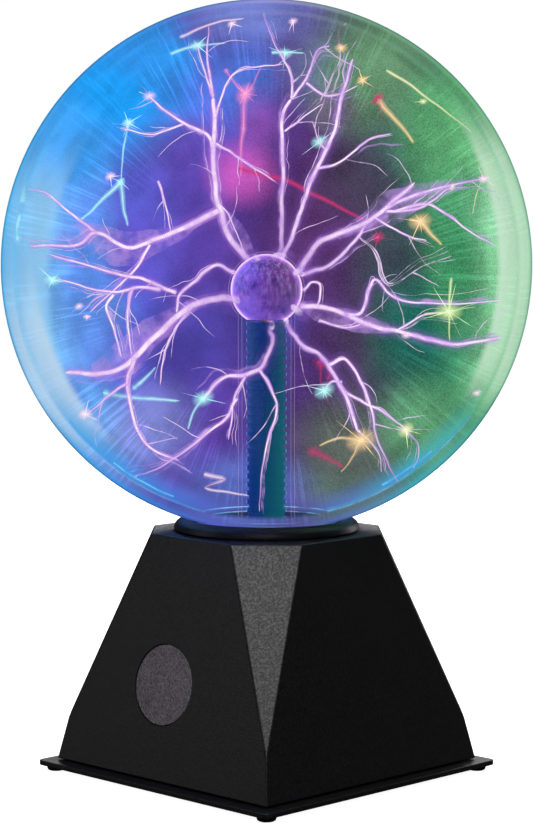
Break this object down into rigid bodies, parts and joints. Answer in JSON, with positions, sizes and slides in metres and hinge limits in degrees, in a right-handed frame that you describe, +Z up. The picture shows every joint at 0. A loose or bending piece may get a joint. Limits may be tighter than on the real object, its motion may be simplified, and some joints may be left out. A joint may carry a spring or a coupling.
{
  "type": "plasma ball",
  "caption": "Tabletop plasma lamp: a clear glass globe with a bulb electrode on a tall stem, held by a domed collar on a tapered square black base with a rear rocker switch.",
  "frame": {"origin": "centre of the overall box at the feet's undersides, on the globe's axis", "axes": "+Z up; the front face with the badge faces -Y, and the rear face with the switch and the power inlet faces +Y"},
  "size_m": [0.13, 0.13, 0.1905],
  "materials": {
    "globe_glass": "polished clear",
    "stem_glass": "polished clear",
    "plasma_glow": "glowing gas",
    "electrode_coat": "mottled metal coat, lit violet",
    "blue_sleeve": "ridged",
    "collar_black": "satin",
    "black_plastic": "fine moulded grain",
    "inlay_grey": "fine grain",
    "switch_black": "satin",
    "rubber": "matt",
    "steel": "zinc plated",
    "brass": "plain",
    "board_green": "solder resist",
    "ferrite": "ground",
    "copper_wire": "enamelled",
    "yellow_tape": "polyester tape",
    "white_nylon": "moulded",
    "aluminium": "extruded",
    "capacitor_sleeve": "shrink sleeve",
    "red_film": "dipped",
    "resistor_tan": "lacquered",
    "lead_red": "insulation",
    "lead_black": "insulation",
    "lead_white": "insulation"
  },
  "bodies": {
    "root": {"glass_globe": "globe_glass", "glass_stem": "stem_glass", "electrode_shell": "electrode_coat", "contact_sleeve": "blue_sleeve", "contact_rod": "brass", "collar_ring": "collar_black", "neck_gasket": "rubber", "neck_clamp": "black_plastic", "clamp_screw_1": "steel", "clamp_screw_2": "steel", "clamp_screw_3": "steel", "base_housing": "black_plastic", "badge_disc": "inlay_grey", "bottom_plate": "black_plastic", "rubber_foot_1": "rubber", "rubber_foot_2": "rubber", "rubber_foot_3": "rubber", "rubber_foot_4": "rubber", "plate_screw_1": "steel", "plate_screw_2": "steel", "plate_screw_3": "steel", "plate_screw_4": "steel", "switch_body": "switch_black", "switch_terminal_1": "brass", "switch_terminal_2": "brass", "switch_terminal_3": "brass", "jack_body": "switch_black", "jack_nut": "steel", "jack_pin": "steel", "microphone": "steel", "circuit_board": "board_green", "board_screw_1": "steel", "board_screw_2": "steel", "board_screw_3": "steel", "board_screw_4": "steel", "core_lower": "ferrite", "core_upper": "ferrite", "bobbin": "white_nylon", "primary_winding": "copper_wire", "secondary_winding": "yellow_tape", "heatsink": "aluminium", "transistor": "switch_black", "heatsink_screw": "steel", "capacitor_large": "capacitor_sleeve", "capacitor_small": "capacitor_sleeve", "film_capacitor": "red_film", "driver_chip": "switch_black", "choke": "ferrite", "resistor_1": "resistor_tan", "resistor_2": "resistor_tan", "hv_lead": "lead_red", "power_lead": "lead_black", "switch_lead": "lead_red", "audio_lead": "lead_white"},
    "rocker": {"switch_rocker": "switch_black"}
  },
  "joints": [
    {"name": "switch_rock", "type": "hinge", "parent": "root", "child": "rocker", "pos_m": [0.014, 0.03297, 0.024], "axis": [-1, 0, 0], "range_deg": [0, 24]}
  ]
}
